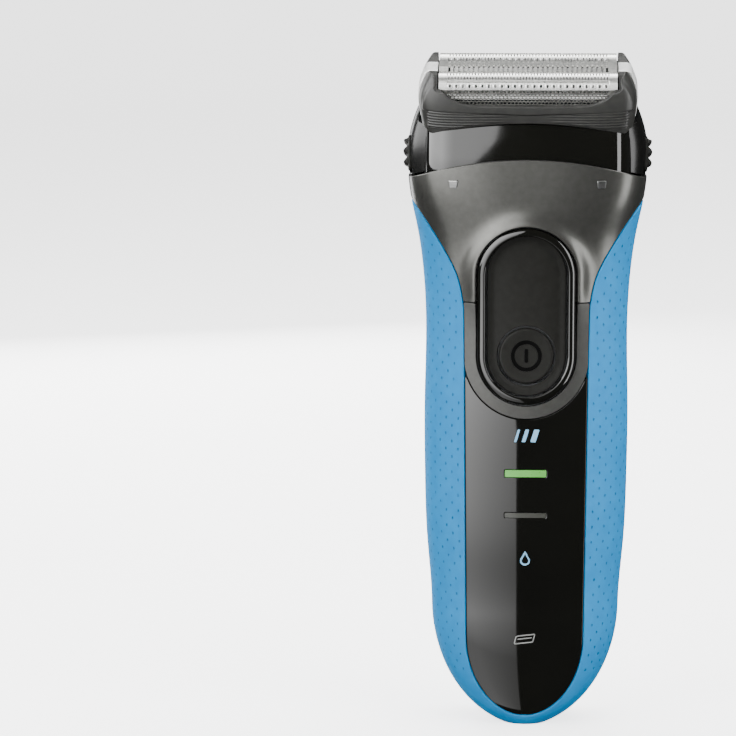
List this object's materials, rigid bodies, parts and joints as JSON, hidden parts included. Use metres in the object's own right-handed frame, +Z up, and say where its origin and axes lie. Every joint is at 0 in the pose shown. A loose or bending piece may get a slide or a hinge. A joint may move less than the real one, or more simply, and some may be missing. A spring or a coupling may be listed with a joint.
{
  "type": "electric foil shaver",
  "caption": "Wet and dry electric foil shaver with blue soft grips, gunmetal shoulders, glossy black panels and a lift-off cassette with foils and a middle trimmer.",
  "frame": {"origin": "middle of the flat foot", "axes": "+Z up from the foot to the head, +X to the viewer's right, the switch side faces -Y"},
  "size_m": [0.0596, 0.0329, 0.1646],
  "materials": {
    "soft_blue_grip": "matt",
    "gunmetal_lacquer": "satin",
    "gloss_black": "gloss",
    "matt_dark_grey": "matt",
    "housing_plastic": "matt",
    "smoked_light_guide": "gloss",
    "bright_metal": "polished",
    "steel": "satin",
    "foil_steel": "satin",
    "cassette_plastic": "satin",
    "seal_rubber": "matt",
    "board_green": "satin",
    "copper_winding": "satin",
    "cell_wrap": "satin",
    "magnet_iron": "matt",
    "contact_gold": "polished"
  },
  "bodies": {
    "handle": {"grip_sleeve": "soft_blue_grip", "shoulder_panel": "gunmetal_lacquer", "switch_bezel": "gunmetal_lacquer", "switch_ring": "gloss_black", "switch_pad": "matt_dark_grey", "lower_panel": "gloss_black", "charge_light_guide": "smoked_light_guide", "low_charge_light_guide": "smoked_light_guide", "renew_light_guide": "smoked_light_guide", "rear_yoke": "gunmetal_lacquer", "rear_cover": "gloss_black", "cap_catches": "bright_metal", "front_housing": "housing_plastic", "rear_housing": "housing_plastic", "housing_seal": "seal_rubber", "rear_screws": "steel", "button_dome": "seal_rubber", "circuit_board": "board_green", "status_leds": "smoked_light_guide", "power_tact_switch": "steel", "charge_coil": "copper_winding", "capacitor": "steel", "battery_left": "cell_wrap", "battery_right": "cell_wrap", "battery_tabs": "bright_metal", "chassis": "housing_plastic", "motor_screws": "steel", "motor_can": "steel", "motor_magnets": "magnet_iron", "motor_end_bell": "housing_plastic", "socket_housing": "housing_plastic", "socket_contacts": "contact_gold", "socket_gasket": "seal_rubber", "head_base": "gloss_black", "head_window": "gloss_black", "left_release_spring": "steel", "right_release_spring": "steel", "bridge_flexures": "steel", "drive_boot": "seal_rubber"},
    "power_button": {"power_button": "matt_dark_grey"},
    "left_release": {"left_release_button": "matt_dark_grey"},
    "right_release": {"right_release_button": "matt_dark_grey"},
    "rotor": {"motor_armature": "copper_winding", "motor_shaft": "steel", "motor_eccentric": "housing_plastic"},
    "drive_bridge": {"drive_bridge": "housing_plastic"},
    "cassette": {"cassette_frame": "cassette_plastic", "cassette_end_bands": "bright_metal", "front_foil_springs": "steel", "rear_foil_springs": "steel", "trimmer_springs": "steel"},
    "cutter_slider": {"cutter_slider": "housing_plastic"},
    "front_foil_unit": {"front_foil": "foil_steel", "front_foil_frame": "bright_metal"},
    "rear_foil_unit": {"rear_foil": "foil_steel", "rear_foil_frame": "bright_metal"},
    "trimmer_unit": {"trimmer_comb": "foil_steel"},
    "front_cutter": {"front_cutter": "steel"},
    "rear_cutter": {"rear_cutter": "steel"},
    "trimmer_blade": {"trimmer_blade": "steel"}
  },
  "joints": [
    {"name": "drive_oscillation", "type": "slide", "parent": "handle", "child": "drive_bridge", "axis": [1, 0, 0], "range_m": [-0.001, 0.001], "deforming": ["bridge_flexures", "drive_boot"]},
    {"name": "rotor_spin", "type": "hinge", "parent": "handle", "child": "rotor", "pos_m": [0, 0.0005, 0.115], "axis": [0, 0, 1], "continuous": true},
    {"name": "power_button_press", "type": "slide", "parent": "handle", "child": "power_button", "axis": [0, 1, 0], "range_m": [0, 0.0005], "stiffness_N_per_m": 900, "springref_m": -0.0005, "deforming": ["button_dome"]},
    {"name": "left_release_press", "type": "slide", "parent": "handle", "child": "left_release", "axis": [1, 0, 0], "range_m": [0, 0.0015], "stiffness_N_per_m": 700, "springref_m": -0.0008, "deforming": ["left_release_spring"]},
    {"name": "right_release_press", "type": "slide", "parent": "handle", "child": "right_release", "axis": [-1, 0, 0], "range_m": [0, 0.0015], "stiffness_N_per_m": 700, "springref_m": -0.0008, "deforming": ["right_release_spring"]},
    {"name": "cassette_lift", "type": "slide", "parent": "handle", "child": "cassette", "axis": [0, -0.309, 0.9511], "range_m": [0, 0.016]},
    {"name": "front_foil_float", "type": "slide", "parent": "cassette", "child": "front_foil_unit", "axis": [0, 0.309, -0.9511], "range_m": [0, 0.0009], "stiffness_N_per_m": 260, "springref_m": -0.001, "deforming": ["front_foil_springs"]},
    {"name": "rear_foil_float", "type": "slide", "parent": "cassette", "child": "rear_foil_unit", "axis": [0, 0.309, -0.9511], "range_m": [0, 0.0009], "stiffness_N_per_m": 260, "springref_m": -0.001, "deforming": ["rear_foil_springs"]},
    {"name": "trimmer_float", "type": "slide", "parent": "cassette", "child": "trimmer_unit", "axis": [0, 0.309, -0.9511], "range_m": [0, 0.0015], "stiffness_N_per_m": 300, "springref_m": -0.001, "deforming": ["trimmer_springs"]},
    {"name": "slider_oscillation", "type": "slide", "parent": "cassette", "child": "cutter_slider", "axis": [1, 0, 0], "range_m": [-0.001, 0.001]},
    {"name": "front_cutter_oscillation", "type": "slide", "parent": "front_foil_unit", "child": "front_cutter", "axis": [1, 0, 0], "range_m": [-0.001, 0.001]},
    {"name": "rear_cutter_oscillation", "type": "slide", "parent": "rear_foil_unit", "child": "rear_cutter", "axis": [1, 0, 0], "range_m": [-0.001, 0.001]},
    {"name": "trimmer_blade_oscillation", "type": "slide", "parent": "trimmer_unit", "child": "trimmer_blade", "axis": [1, 0, 0], "range_m": [-0.001, 0.001]}
  ],
  "couplings": [
    {"joint": "slider_oscillation", "follows": "drive_oscillation", "ratio": 1},
    {"joint": "front_cutter_oscillation", "follows": "drive_oscillation", "ratio": 1},
    {"joint": "rear_cutter_oscillation", "follows": "drive_oscillation", "ratio": 1},
    {"joint": "trimmer_blade_oscillation", "follows": "drive_oscillation", "ratio": 1}
  ]
}
